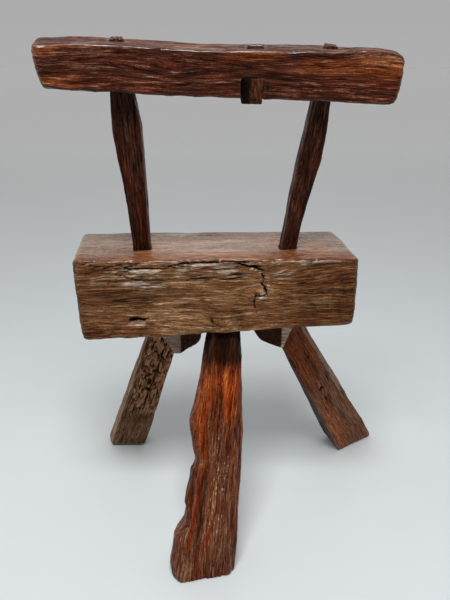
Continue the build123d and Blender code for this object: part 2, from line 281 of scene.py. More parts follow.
    def checks(self, length, width, thin, depth, offset, where=1.0, tint=0.9):
        """Drying cracks along the grain, here and there. thin is half a crack's width."""
        stretch = np.array((length * 3, width, width))
        seed = self.seed + offset
        lines = noise(self.grain / stretch, seed)
        slope = np.zeros(len(lines))
        for step in ((0, 0.25 * width, 0), (0, 0, 0.25 * width)):
            slope += ((noise((self.grain + step) / stretch, seed) - lines) * 4) ** 2
        slope = np.sqrt(slope)
        # the cracks run where the noise crosses 0, and its slope turns its value into a distance
        distance = width * np.abs(lines) / np.maximum(slope, 0.05)
        patches = ramp(self.streaks(length, width * 2.5, offset + 5, 1), 0.05, 0.3)
        crack = ramp(distance, thin, thin * 0.3) * ramp(slope, 0.25, 0.5) * patches * where
        self.rise -= depth * crack
        self.add("crack", crack * tint)

    def end_grain(self, pith, ring, rays):
        """Growth rings round a pith, and drying cracks that run out from it, on both ends.

        pith is a place in the section, as shares across it and out of the camera side.
        """
        ends = ramp(np.abs(self.normals @ self.axes[0]), 0.65, 0.9)
        off = self.local[:, 1:] - self.low[1:] - self.size[1:] * pith
        radius = np.linalg.norm(off, axis=1) + 1.5 * noise(self.local / 14, self.seed + RINGS)
        rings = 0.5 + 0.5 * np.sin(2 * math.pi * radius / ring)
        self.add("shade", ends * rings * 0.4)
        self.rise -= 0.4 * ends * rings
        wobble = 0.05 * noise(self.local / 9, self.seed + RINGS + 1)
        around = np.arctan2(off[:, 1], off[:, 0]) + wobble
        golden = 2.4  # the golden angle keeps the cracks apart
        for k in range(rays):
            way = golden * k + 0.7
            turn = np.angle(np.exp(1j * (around - way)))
            reach = 14.0 + 8.0 * math.sin(5.3 * k)
            crack = ramp(np.abs(turn) * radius, 1.5, 0.5) * bump(radius, 1.4 * reach, reach) * ends
            self.rise -= 1.8 * crack
            self.add("crack", crack * 0.8)

    def near_path(self, path, wander, grid=EASY):
        """Distance from a path of (s, t) pairs, which wanders a little, and progress along it."""
        flat = self.local[:, :2].copy()
        for k in range(2):
            flat[:, k] += wander * fractal(self.local / grid, self.seed + WANDER + 31 * k, 2)
        return along_path(flat, self.low[:2] + np.asarray(path, float) * self.size[:2])

    def width_share(self, bins=70):
        """Where each point lies between the piece's two sides at its place along it, 0 to 1."""
        across = self.local[:, 1]
        place = np.clip((self.s * bins).astype(int), 0, bins - 1)
        low = np.full(bins, FAR)
        high = np.full(bins, -FAR)
        np.minimum.at(low, place, across)
        np.maximum.at(high, place, across)
        middles = (np.arange(bins) + 0.5) / bins
        low = np.interp(self.s, middles, low)
        high = np.interp(self.s, middles, high)
        return np.clip((across - low) / np.maximum(high - low, 1.0), 0, 1)

    def shift(self, axis, reach):
        """Moves the points along one of the piece's own axes by reach in millimetres."""
        self.points += self.axes[axis] * reach[:, None]

    def round_foot(self, left, right, deep=1.0):
        """Draws a foot's sides in towards its sole, by a radius on its left and on its right."""
        foot = self.local[self.s < 0.3]
        low, high = foot.min(axis=0), foot.max(axis=0)
        across = np.clip((2 * self.local - low - high) / (high - low), -1, 1)
        radius = left + (right - left) * (across[:, 1] + 1) / 2
        short = np.clip(1 - self.points[:, 2] / self.axes[0][2] / radius, 0, 1)
        inset = radius * (1 - np.sqrt(1 - short**2))
        self.shift(1, -inset * across[:, 1])
        self.shift(2, -inset * across[:, 2] * deep)

    def cut(self, path, width, depth, where=None, tint=1.0, blunt=0.45, wander=1.2, grid=EASY):
        """A crack, widest in its middle and fading at its ends."""
        distance, progress = self.near_path(path, wander, grid)
        swell = np.clip(np.sin(math.pi * np.clip(progress, 0.02, 0.98)), 0, 1) ** blunt
        chips = np.clip(1 + 0.9 * self.streaks(13, 3.5, CHIPPED, 2), 0.35, 1.6)
        half = width * 0.5 * swell * chips
        where = self.camera_side() if where is None else where
        crack = ramp(distance, half * 1.25, half * 0.45) * where
        self.rise -= depth * crack
        self.add("crack", crack * tint)

    def strip(self, path, width, level, lift=0.0, field="pale"):
        """A streak of another finish, with ragged edges along the grain."""
        distance, progress = self.near_path(path, wander=1.5)
        ends = ramp(progress, 0.0, 0.18) * ramp(progress, 1.0, 0.82)
        torn = 0.45 * self.streaks(22, 2.6, TORN, 2)
        amount = ramp(ends * ramp(distance, width * 0.8, 0) + torn, 0.35, 0.75)
        amount = amount * self.camera_side()
        self.rise += lift * np.clip(amount, 0, 1)
        self.add(field, amount * level)

    def hole(self, s, t, length, width, depth):
        """An oval pit in the camera side."""
        away = self.away_from(s, t)
        for k in range(2):
            away[:, k] += 0.5 * noise(self.local / 3.0, self.seed + PITTED + k)
        reach = np.sqrt((away[:, 0] / (length / 2)) ** 2 + (away[:, 1] / (width / 2)) ** 2)
        pit = ramp(reach, 1.15, 0.55) * ramp(self.side, 0.1, 0.4)
        self.rise -= depth * pit
        self.add("crack", pit)

    def wear(self, level):
        """Rubbed arrises: paler and glossier than the flats. Hollows are painted darker, as shade
        in them.
        """
        self.add("gloss", ramp(self.convex, 0.1, 0.55) * level)
        self.add("shade", ramp(self.convex, -0.05, -0.6) * 0.6)

    def finish(self, material):
        """Moves the points, stores the fields, and hands the piece to the frame."""
        self.points = self.points + self.normals * self.rise[:, None]
        self.points[:, 2] = np.maximum(self.points[:, 2], 0)  # the soles stay on the floor
        mesh = self.obj.data
        mesh.vertices.foreach_set("co", (self.points * MM).ravel())
        mesh.shade_smooth()
        grain = mesh.attributes.new("grain", "FLOAT_VECTOR", "POINT")
        grain.data.foreach_set("vector", (self.grain * MM).ravel())
        for name, values in self.fields.items():
            layer = mesh.attributes.new(name, "FLOAT", "POINT")
            layer.data.foreach_set("value", np.clip(values, 0, 1).astype(np.float32))
        mesh.update()
        mesh.materials.clear()
        mesh.materials.append(material)
        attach(self.obj, "root")
        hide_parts(self.node)


def divided_copy(node, voxel):
    """A closed copy of a CAD node's surface in even small faces."""
    obj = link(bpy.data.objects.new(node + "_worn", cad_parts[node].data.copy()))
    weld = obj.modifiers.new("weld", "WELD")
    weld.merge_threshold = 0.01 * MM
    voxels = obj.modifiers.new("voxels", "REMESH")
    voxels.mode = "VOXEL"
    voxels.voxel_size = voxel
    graph = bpy.context.evaluated_depsgraph_get()
    mesh = bpy.data.meshes.new_from_object(obj.evaluated_get(graph))
    obj.modifiers.clear()
    obj.data = mesh
    return obj


def near_box(carving, node, reach):
    """1 inside a node's box, fading to 0 at reach millimetres from it."""
    low, high = (np.array(corner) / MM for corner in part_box(node))
    gap = np.maximum(np.maximum(low - carving.points, carving.points - high), 0)
    return ramp(np.linalg.norm(gap, axis=1), reach, 0)


def middle(points):
    """The middle of some points' box."""
    return (points.max(axis=0) + points.min(axis=0)) / 2


def long_axis(node):
    """The direction that a node is longest in, pointing right or up."""
    points = mesh_points(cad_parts[node].data)
    spread = points - middle(points)
    axis = np.linalg.svd(spread, full_matrices=False)[2][0]
    return axis if axis @ (RIGHTWARD + UP) > 0 else -axis


def leg_axis(node):
    """The way a leg runs, from the middle of its foot to the middle of its shoulder."""
    points = mesh_points(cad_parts[node].data)
    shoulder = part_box("seat_block")[0][2] + 12 * MM
    foot = points[points[:, 2] < 1 * MM]
    head = points[np.abs(points[:, 2] - shoulder) < 14 * MM]
    return middle(head) - middle(foot)


# ---- materials


def linear(red, green, blue):
    """An sRGB colour, 0 to 255, as linear RGBA."""
    channels = [c / 255 for c in (red, green, blue)]
    return [c / 12.92 if c < 0.04045 else ((c + 0.055) / 1.055) ** 2.4 for c in channels] + [1.0]


class Nodes:
    """A node tree under construction."""

    def __init__(self, tree):
        self.tree = tree

    def node(self, kind, **settings):
        made = self.tree.nodes.new(kind)
        for key, value in settings.items():
            setattr(made, key, value)
        return made

    def join(self, source, target):
        self.tree.links.new(source, target)

    def put(self, value, socket):
        """A number, colour or another node's output goes into a socket."""
        if isinstance(value, bpy.types.NodeSocket):
            self.join(value, socket)
        else:
            socket.default_value = value

    def spread(self, value, low, high, start=0.0, end=1.0):
        """value from low to high becomes start to end, with the rest cut off."""
        made = self.node("ShaderNodeMapRange")
        for item, socket in zip((value, low, high, start, end), made.inputs):
            self.put(item, socket)
        return made.outputs[0]


class Shader(Nodes):
    """A material under construction."""

    def __init__(self, name):
        self.material = bpy.data.materials.new(name)
        self.material.use_nodes = True
        super().__init__(self.material.node_tree)
        self.tree.nodes.clear()
        self.output = self.node("ShaderNodeOutputMaterial")
        self.surface = self.node("ShaderNodeBsdfPrincipled")
        self.join(self.surface.outputs[0], self.output.inputs["Surface"])

    def fill(self, **values):
        """Values for the surface's sockets, with underscores for the spaces in their names."""
        for name, value in values.items():
            self.put(value, self.surface.inputs[name.replace("_", " ")])

    def emboss(self, height, distance):
        """Relief from a height between 0 and 1, over a distance in millimetres."""
        made = self.node("ShaderNodeBump")
        made.inputs["Distance"].default_value = distance * MM
        self.join(height, made.inputs["Height"])
        self.fill(Normal=made.outputs[0])

    def field(self, name):
        made = self.node("ShaderNodeAttribute", attribute_name=name)
        return made.outputs["Vector" if name == "grain" else "Fac"]

    def noise(self, vector, stretch, detail, rough, twist=0.0):
        """Noise over a vector that is stretched first."""
        scaled = self.node("ShaderNodeVectorMath", operation="MULTIPLY")
        self.put(vector, scaled.inputs[0])
        self.put(stretch, scaled.inputs[1])
        made = self.node("ShaderNodeTexNoise")
        self.join(scaled.outputs[0], made.inputs["Vector"])
        names = ("Scale", "Detail", "Roughness", "Distortion")
        for name, value in zip(names, (1.0, detail, rough, twist)):
            made.inputs[name].default_value = value
        return made.outputs["Fac"]

    def maths(self, operation, first, second=0.0, third=0.0):
        made = self.node("ShaderNodeMath", operation=operation)
        for value, socket in zip((first, second, third), made.inputs):
            self.put(value, socket)
        return made.outputs[0]

    def plus(self, total, *parts):
        """total, with each (value, share) pair's product added."""
        for value, share in parts:
            total = self.maths("MULTIPLY_ADD", value, share, total)
        return total

    def colours(self, value, stops):
        """A colour ramp with evenly spaced sRGB stops."""
        made = self.node("ShaderNodeValToRGB")
        strip = made.color_ramp.elements
        while len(strip) < len(stops):
            strip.new(0.5)
        for k, stop in enumerate(stops):
            strip[k].position = k / (len(stops) - 1)
            strip[k].color = linear(*stop)
        self.put(value, made.inputs[0])
        return made.outputs[0]

    def blend(self, share, first, second, mode="MIX"):
        made = self.node("ShaderNodeMix", data_type="RGBA", blend_type=mode)
        self.put(share, made.inputs[0])
        for value, socket in zip((first, second), (made.inputs[6], made.inputs[7])):
            self.put(linear(*value) if isinstance(value, tuple) else value, socket)
        return made.outputs[2]

    def dimmed(self, colour, level):
        """A colour times one number."""
        grey = self.node("ShaderNodeCombineColor")
        for socket in grey.inputs[:3]:
            self.join(level, socket)
        return self.blend(1.0, colour, grey.outputs[0], "MULTIPLY")


def wood(name, main, other, raw, rough=(0.3, 0.56), relief=1.0, contrast=1.0, coat=0.1):
    """Old wood, from its fields.

    main and other are ramps from furrow to ridge that tone mixes, and raw shows where pale is
    high. rough is the roughness of ridge and furrow, relief the depth of the fibres, and coat the
    amount of wax on the ridges.
    """
    art = Shader(name)
    grain, shade, gloss, crack, pale_field = (
        art.field(field) for field in ("grain", "shade", "gloss", "crack", "pale")
    )
    # waves in a metre along the grain, across it and out of the camera side
    fibre = art.noise(grain, (36, 560, 560), 4, 0.68, 0.15)
    line = art.noise(grain, (10, 165, 165), 4, 0.6, 0.35)
    band = art.noise(grain, (4.5, 50, 50), 3, 0.5, 0.5)
    patch = art.noise(grain, (13, 22, 22), 3, 0.55)
    pores = art.noise(grain, (110, 900, 900), 2, 0.5)
    grit = art.noise(grain, (460, 560, 560), 3, 0.7)

    mixed = art.plus(
        art.maths("MULTIPLY", line, 0.15),
        (fibre, 0.46), (band, 0.13), (patch, 0.12), (grit, 0.14), (gloss, 0.02),
    )
    reach = 0.115 / contrast
    level = art.spread(mixed, 0.5 - reach, 0.5 + reach)
    tone = art.maths("ADD", art.field("tone"), art.maths("MULTIPLY_ADD", line, 1.1, -0.55))
    tone = art.spread(tone, 0.25, 0.75)
    colour = art.blend(tone, art.colours(level, main), art.colours(level, other))
    pale = art.maths("MULTIPLY_ADD", fibre, 2.6, art.maths("ADD", pale_field, -1.3))
    pale = art.maths("MULTIPLY", art.spread(pale, 0.3, 0.75), art.spread(pale_field, 0.02, 0.3))
    colour = art.blend(pale, colour, art.colours(level, raw))
    pore = art.spread(pores, 0.36, 0.46, 0.38, 1.0)
    colour = art.dimmed(colour, pore)
    # darkened by painted shade and by real stains
    colour = art.dimmed(colour, art.spread(shade, 0.0, 1.0, 1.0, 0.05))
    stain = art.blend(art.field("red"), (255, 255, 255), (250, 205, 165))
    colour = art.blend(1.0, colour, stain, "MULTIPLY")
    # cracks, pits and gaps go near black: painted shade inside them
    colour = art.blend(art.spread(crack, 0.15, 0.7), colour, (9, 5, 3))

    roughness = art.plus(
        art.spread(fibre, 0.38, 0.62, rough[1], rough[0]),
        (gloss, -0.08), (pale, 0.12), (shade, 0.2), (crack, 0.3),
    )
    ridge = art.maths("MULTIPLY_ADD", fibre, 0.6, art.maths("MULTIPLY", line, 0.4))
    wax = art.spread(ridge, 0.48, 0.6, 0.0, coat)
    wax = art.maths("MULTIPLY", wax, art.spread(shade, 0.0, 0.5, 1.0, 0.0))
    art.fill(
        Base_Color=colour,
        Roughness=roughness,
        Specular_IOR_Level=0.12,
        Specular_Tint=(1.0, 0.85, 0.72, 1.0),
        Coat_Weight=art.plus(wax, (gloss, min(1.0, 2 * coat))),
        Coat_Roughness=0.22,
    )
    height = art.plus(art.maths("MULTIPLY", line, 1.5), (fibre, 0.8), (pore, 0.2), (grit, 0.25))
    art.emboss(height, 2.4 * relief)
    return art.material


def seat_wood():
    """main is the ochre torn face, other the greyer polished top, its paler grey partly a painted
    sheen.
    """
    return wood(
        "seat_wood",
        main=((54, 29, 15), (115, 74, 44), (157, 112, 72), (216, 182, 148)),
        other=((98, 64, 44), (142, 105, 82), (168, 133, 111), (196, 168, 148)),
        raw=((104, 84, 68), (176, 154, 134), (230, 216, 200)),
        contrast=1.15,
        coat=0.4,
    )


def rail_wood():
    """main is dark red-brown, other the orange-brown of rubbed places."""
    return wood(
        "rail_wood",
        main=((28, 8, 3), (74, 28, 13), (108, 48, 26), (180, 122, 92)),
        other=((52, 17, 5), (116, 47, 16), (160, 80, 34), (208, 142, 94)),
        raw=((96, 68, 52), (156, 122, 98), (214, 190, 172)),
        rough=(0.27, 0.5),
        contrast=1.25,
        coat=0.6,
    )


def spindle_wood():
    return wood(
        "spindle_wood",
        main=((20, 7, 3), (54, 24, 14), (78, 42, 29), (126, 86, 66)),
        other=((28, 8, 3), (68, 23, 11), (96, 40, 23), (138, 80, 58)),
        raw=((70, 50, 38), (120, 94, 76), (170, 142, 122)),
        rough=(0.3, 0.55),
        coat=0.35,
    )


def rear_leg_wood():
    """main is grey-brown, other the orange heartwood."""
    return wood(
        "rear_leg_wood",
        main=((44, 18, 9), (98, 50, 31), (130, 77, 52), (182, 140, 112)),
        other=((72, 22, 5), (136, 54, 17), (176, 84, 30), (220, 142, 76)),
        raw=((100, 80, 58), (168, 144, 112), (226, 208, 182)),
        rough=(0.27, 0.5),
        contrast=1.15,
        coat=0.5,
    )


def left_leg_wood():
    return wood(
        "left_leg_wood",
        main=((50, 29, 16), (98, 66, 43), (132, 97, 68), (180, 150, 122)),
        other=((62, 27, 13), (120, 66, 41), (160, 102, 70), (206, 158, 128)),
        raw=((116, 88, 66), (172, 140, 112), (212, 188, 164)),
        rough=(0.38, 0.62),
        coat=0.15,
    )


def right_leg_wood():
    return wood(
        "right_leg_wood",
        main=((58, 31, 19), (121, 76, 54), (152, 106, 79), (196, 158, 132)),
        other=((62, 26, 12), (130, 68, 38), (172, 104, 64), (216, 160, 118)),
        raw=((120, 98, 82), (172, 146, 126), (212, 192, 174)),
        rough=(0.32, 0.56),
        contrast=0.85,
        coat=0.2,
    )


def brace_wood():
    """main is grey sawn end grain, other the dark brown flanks."""
    return wood(
        "brace_wood",
        main=((104, 80, 66), (148, 122, 106), (172, 148, 132), (196, 176, 160)),
        other=((34, 16, 10), (74, 42, 30), (106, 66, 48), (142, 100, 80)),
        raw=((142, 116, 98), (196, 168, 148), (232, 212, 194)),
        rough=(0.5, 0.72),
        relief=0.6,
        coat=0.0,
    )


def stub_wood():
    return wood(
        "stub_wood",
        main=((32, 15, 9), (70, 36, 22), (104, 58, 38), (148, 98, 72)),
        other=((48, 20, 10), (98, 50, 27), (140, 82, 48), (180, 122, 84)),
        raw=((70, 50, 40), (110, 84, 68), (150, 122, 102)),
    )


def wedge_wood():
    return wood(
        "wedge_wood",
        main=((48, 28, 18), (96, 62, 42), (130, 92, 66), (168, 130, 100)),
        other=((44, 22, 14), (88, 52, 34), (122, 82, 56), (156, 114, 84)),
        raw=((110, 86, 66), (160, 132, 106), (204, 182, 156)),
        rough=(0.5, 0.75),
        coat=0.0,
    )


def forged_iron():
    """Dark nail iron with scale and a little rust."""
    art = Shader("forged_iron")
    places = art.node("ShaderNodeTexCoord").outputs["Object"]
    scale = art.noise(places, (380, 380, 380), 4, 0.6)
    rust = art.noise(places, (120, 120, 120), 3, 0.6)
    metal = art.colours(scale, ((22, 19, 18), (46, 40, 38), (70, 62, 58)))
    brown = art.colours(scale, ((52, 26, 14), (92, 48, 26), (120, 70, 42)))
    art.fill(
        Base_Color=art.blend(art.spread(rust, 0.5, 0.62), metal, brown),
        Roughness=art.spread(scale, 0.3, 0.7, 0.7, 0.42),
        Metallic=0.75,
    )
    art.emboss(scale, 0.4)
    return art.material


def glowing_pale_floor():
    """A white studio floor, very faintly mottled.

    Far behind the stool it glows a little with painted light, as bright as the lit wall there.
    """
    art = Shader("glowing_pale_floor")
    places = art.node("ShaderNodeTexCoord").outputs["Object"]
    away = art.node("ShaderNodeSeparateXYZ")
    art.join(places, away.inputs[0])
    art.fill(
        Base_Color=art.colours(
            art.noise(places, (7, 7, 7), 4, 0.6), ((222, 230, 234), (227, 235, 239))
        ),
        Roughness=0.55,
        # painted glow: the far floor shines by itself, though it is no lamp
        Emission_Strength=art.spread(away.outputs["Y"], 0.9, 4.0, 0.0, 0.09),
        Emission_Color=(1.0, 0.85, 0.8, 1.0),
    )
    return art.material


# ---- pieces


def make_seat():
    """The hewn beam: polished top, torn and checked rear face."""
    c = Carving("seat_block", 1.65, RIGHTWARD, 11)
    shape_seat(c)
    face = ramp(c.side, 0.15, 0.6)
    top = ramp(c.top, 0.45, 0.8)
    end = ramp(np.abs(c.normals[:, 0]), 0.5, 0.8)
    c.hew(42, 1.3)
    tear_seat(c, face, top, end)
    c.wear(0.9)
    c.end_grain((0.35, 0.45), 6.0, 9)
    seat_cracks(c)
    tint_seat_face(c, face)
    tint_seat_top(c, top)
    c.add("shade", end * 0.2)
    c.finish(seat_wood())


def shape_seat(c):
    """The beam's worn outline, and its grain, which fans out to the right."""
    c.soften(3, 12, 60)
    c.shift(0, 2.0 * ramp(c.s, 0.92, 1.0) - 3.5 * ramp(c.s, 0.08, 0.0) * ramp(c.t, 0.0, 1.0))
    c.shift(1, -2.2 * ramp(c.t, 0.3, 0.0))
    low_left = ramp(c.s, 0.05, 0.0) * ramp(c.t, 0.15, 0.0)
    low_right = 0.35 * ramp(c.s, 0.96, 1.0) * ramp(c.t, 0.34, 0.2)
    c.round_off(60, np.maximum(low_left, low_right))
    c.wavy(5.0, 90, 26)
    fan = ramp(c.s, 0.62, 1.0) * (0.25 + 0.75 * ramp(c.t, 0.3, 0.9))
    lean = ramp(c.s, 0.5, 0.0) * ramp(c.t, 0.35, 0.85)
    shift = c.grain - c.local
    shift[:, 1] += lean * 22 * (0.5 - c.s) - fan * 16
    c.warp_by(shift)
    c.eddy(0.665, 0.6, 26, 15, 9)
    c.eddy(0.5, 0.22, 16, 8, 4)


def tear_seat(c, face, top, end):
    """Fibres and drying cracks, deepest where the rear face is torn, above and round the knot."""
    rough = np.clip(face + ramp(-c.top, 0.3, 0.7) * 0.8 + end * 0.5, 0, 1)
    torn = face * ramp(c.t + 0.1 * c.streaks(60, 14, 61), 0.66, 0.8) * ramp(c.s, 0.8, 0.62)
    torn *= 0.35 + 0.65 * ramp(c.s, 0.04, 0.2)
    torn = np.maximum(torn, face * bump(c.s, 0.66, 0.07) * bump(c.t, 0.55, 0.45))
    patchy = 0.6 + 0.4 * ramp(c.spots(40, 7), -0.3, 0.4)
    c.fibres(46, 5.0, 1.0, 110, rough * patchy + torn * 1.3, 0.16)
    c.fibres(26, 3.0, 0.6, 120, rough, 0.18)
    c.fibres(120, 6.0, 0.2, 130, top, 0.08)
    c.checks(60, 8, 0.6, 1.3, 140, face * 0.7, 0.7)
    c.checks(30, 5, 0.9, 2.2, 145, torn, 0.8)
    c.checks(90, 14, 0.9, 0.6, 150, top * 0.7, 0.6)
    c.add("pale", torn * ramp(c.streaks(26, 3.2, 62), -0.05, 0.45) * 0.5)
    c.add("gloss", torn * 0.5)


def tint_seat_face(c, face):
    """The rear face: a rough, greyer lower edge, and dark reddish ends."""
    low = face * ramp(c.t + 0.03 * c.streaks(40, 12, 70), 0.15, 0.03)
    c.rise += low * 1.6 * c.streaks(34, 5, 74)
    c.add("shade", low * (0.15 + 0.4 * ramp(c.streaks(30, 4, 75), 0.1, 0.5)))
    c.add("pale", low * ramp(c.streaks(24, 3, 63), 0.0, 0.5) * 0.5)
    right = ramp(c.s + 0.1 * c.spots(60, 64), 0.66, 0.86)
    ends = face * np.maximum(ramp(c.s, 0.22, 0.02), right)
    c.add("shade", ends * 0.46)
    c.add("red", face * ends * 0.5)
    c.add("shade", face * ramp(c.spots(34, 65), 0.1, 0.6) * 0.3)
    c.add("red", face * (0.03 + 0.3 * ramp(c.streaks(70, 26, 69), 0.0, 0.6)))


def tint_seat_top(c, top):
    """The polished top: greyer, partly as a painted sheen, with a warm band along the torn edge and
    round the spindles.
    """
    nearest = c.low[2] + c.size[2]
    band = ramp(c.local[:, 2], nearest - 46, nearest - 12)
    c.add("tone", top * np.clip(0.95 - 0.35 * band + 0.3 * c.streaks(150, 22, 30), 0, 1))
    c.add("gloss", top * (0.7 - 0.5 * band))
    c.add("shade", top * (0.24 * ramp(c.s, 0.3, 0.05) + 0.2 * ramp(c.s, 0.8, 0.95)))
    c.add("shade", top * 0.24 * ramp(c.streaks(70, 24, 91, 2), 0.1, 0.6))
    feet = [near_box(c, node, 22) for node in ("back_spindle_left", "back_spindle_right")]
    c.add("red", top * np.clip(0.05 + 0.75 * band + 0.6 * np.maximum(*feet), 0, 1))


def seat_cracks(c):
    """The checks, chips and lifted fibres that can be told apart on the rear face."""
    edge = ramp(c.side, 0.05, 0.35)
    # the torn upper edge: one long check, and the gap where its lip has lifted
    long_check = [(0.05, 0.955), (0.12, 0.915), (0.23, 0.895), (0.33, 0.9), (0.42, 0.94)]
    gap = [(0.33, 0.92), (0.4, 0.955), (0.47, 0.98), (0.56, 0.985), (0.62, 0.965)]
    c.cut(long_check, 1.4, 2.0, edge, tint=0.85)
    c.cut(gap, 3.2, 5.5, edge)
    c.cut([(0.575, 0.965), (0.6, 0.935), (0.635, 0.9), (0.67, 0.87)], 4.2, 6.5, edge)
    c.strip([(0.4, 0.915), (0.5, 0.93), (0.59, 0.9)], 8, 0.7, 0.9)
    c.strip([(0.5, 0.86), (0.58, 0.84), (0.64, 0.82)], 6, 0.5, 0.5)
    c.strip([(0.14, 0.88), (0.26, 0.86), (0.36, 0.85)], 7, 0.6, 0.8)
    # the stepped crack round the knot
    for path, width, depth, tint, wander in (
        ([(0.668, 0.85), (0.674, 0.76), (0.668, 0.69), (0.68, 0.63)], 2.6, 3.5, 0.9, 2.0),
        ([(0.68, 0.66), (0.684, 0.58), (0.668, 0.54), (0.645, 0.555)], 2.6, 3.5, 0.95, 2.0),
        ([(0.648, 0.57), (0.642, 0.47), (0.648, 0.35)], 2.0, 3.0, 0.85, 1.6),
    ):
        c.cut(path, width, depth, tint=tint, blunt=0.3, wander=wander, grid=JAGGED)
    c.strip([(0.69, 0.8), (0.692, 0.72), (0.69, 0.6)], 5, 0.35, 1.6)
    c.strip([(0.66, 0.66), (0.664, 0.58)], 5, 0.3, 1.2)
    c.strip([(0.655, 0.5), (0.69, 0.52)], 6, 0.9, 1.0)
    # the rough little knot near the lower edge
    knot = bump(c.s, 0.49, 0.055) * bump(c.t, 0.2, 0.2) * c.camera_side()
    c.rise += knot * 1.2 * c.spots(5, 66)
    c.add("shade", knot * ramp(c.spots(5, 67), -0.05, 0.5) * 0.6)
    c.add("pale", knot * ramp(c.spots(5, 68), 0.15, 0.6) * 0.5)
    c.strip([(0.69, 0.81), (0.74, 0.84), (0.8, 0.86)], 8, 0.5, 0.8)
    c.strip([(0.57, 0.36), (0.64, 0.34)], 6, 0.6, 0.8)
    c.strip([(0.84, 0.46), (0.9, 0.44), (0.94, 0.46)], 7, 0.5, 0.8)
    c.cut([(0.48, 0.34), (0.495, 0.22), (0.52, 0.16)], 2.2, 2.0, tint=0.7)
    c.cut([(0.68, 0.56), (0.8, 0.57), (0.97, 0.6)], 1.3, 1.2, tint=0.7)
    # the rubbed, waxed upper right edge, with a pale strip painted on as its highlight
    c.strip([(0.78, 0.955), (0.87, 0.965), (0.96, 0.96)], 5, 0.8, 0.6)
    c.add("gloss", edge * ramp(c.t, 0.92, 0.97) * ramp(c.s, 0.72, 0.85))
    # old slot with a chip broken out under it
    c.cut([(0.202, 0.262), (0.26, 0.268)], 5.6, 8.0, blunt=0.12, wander=0.3)
    c.strip([(0.185, 0.215), (0.265, 0.222)], 6.0, 1.0, -1.2)
    # lifted fibres on the left
    lifted = [(0.15, 0.84), (0.19, 0.8), (0.23, 0.76), (0.3, 0.755), (0.36, 0.77)]
    c.cut(lifted, 2.0, 2.4, tint=0.85)
    c.strip([(0.06, 0.735), (0.14, 0.72)], 7, 0.5, 0.8)
    c.strip([(0.16, 0.72), (0.26, 0.69), (0.36, 0.68)], 8, 0.72, 1.2)


def make_rail():
    """Dark red-brown and hand polished, with a wavy upper edge."""
    c = Carving("back_rail", 1.3, long_axis("back_rail"), 23)
    c.soften(2, 26, 50, near_box(c, "centre_spindle_stub", 14))
    c.wavy(4.5, 80, 22)
    c.eddy(0.36, 0.55, 34, 14, 3.5)
    face = ramp(c.side, 0.15, 0.6)
    # on the right the near face stands higher and hides the top
    near = ramp((c.local[:, 2] - c.low[2]) / c.size[2], 0.2, 0.8)
    c.shift(1, 8.0 * ramp(c.s, 0.8, 0.93) * ramp(c.t, 0.5, 1.0) * near)
    c.round_off(90, np.maximum(ramp(c.s, 0.09, 0.03), ramp(c.s, 0.955, 0.99)))
    c.shift(0, 5.5 * ramp(c.s, 0.9, 1.0) - 2.5 * ramp(c.s, 0.1, 0.0))
    c.rise += 1.5 * ramp(c.s, 0.06, 0.0)
    c.hew(38, 1.1)
    c.fibres(70, 5.2, 0.9, 110, 1.0, 0.2)
    c.fibres(30, 2.7, 0.45, 120, 1.0, 0.15)
    c.checks(50, 7, 0.5, 1.0, 140, 1.0, 0.5)
    c.wear(1.0)
    c.end_grain((0.2, 0.3), 4.5, 5)
    c.add("gloss", face * ramp(c.streaks(60, 3.6, 77), 0.3, 0.65))
    # pale streaks along the fibres: rubbed lines, with painted highlight on them
    c.add("pale", face * ramp(c.streaks(60, 2.8, 78), 0.4, 0.75) * 0.5)
    c.add("tone", ramp(c.streaks(90, 16, 31), 0.1, 0.6) * 0.6)
    c.add("shade", face * 0.16)
    upper = face * ramp(c.t, 0.5, 0.8)
    c.add("tone", upper * bump(c.s, 0.035, 0.06))
    c.add("tone", upper * bump(c.s, 0.57, 0.16) * 0.9)
    c.add("tone", face * bump(c.t, 0.6, 0.38) * ramp(c.s, 0.66, 0.8) * 0.8)
    c.add("shade", face * ramp(c.streaks(80, 12, 79), 0.05, 0.55) * 0.4)
    c.add("shade", face * bump(c.s, 0.42, 0.12) * bump(c.t, 0.85, 0.4) * 0.35)
    c.add("shade", face * bump(c.s, 0.6, 0.09) * ramp(c.t, 0.6, 0.3) * 0.3)
    flat_top = ramp(c.top, 0.4, 0.8)
    c.add("gloss", flat_top * 0.3)
    c.add("shade", flat_top * 0.25)
    c.finish(rail_wood())


def make_stub():
    """The cut-off tenon of a lost middle spindle, painted darkest on its left as the shade of the
    slot beside it.
    """
    c = Carving("centre_spindle_stub", 0.8, UP, 31)
    c.soften(2, 5, 14)
    c.rise += 0.9
    # widened to the left over the slot beside it, whose shade is painted on below
    c.shift(1, -4.6 * ramp(c.t, 0.3, 0.0))
    c.fibres(30, 2.6, 0.5, 110, 1.0, 0.3)
    c.wear(0.6)
    # painted shade: the slot on the left, and the shaded left side
    c.add("shade", ramp(c.t, 0.34, 0.2))
    c.add("shade", ramp(c.t, 0.6, 0.3) * 0.4)
    # a little darker at the foot; painted shade at the head, where it meets the rail
    c.add("shade", ramp(c.s, 0.2, 0.0) * 0.3 + ramp(c.s, 0.55, 0.8) * 0.7)
    c.finish(stub_wood())


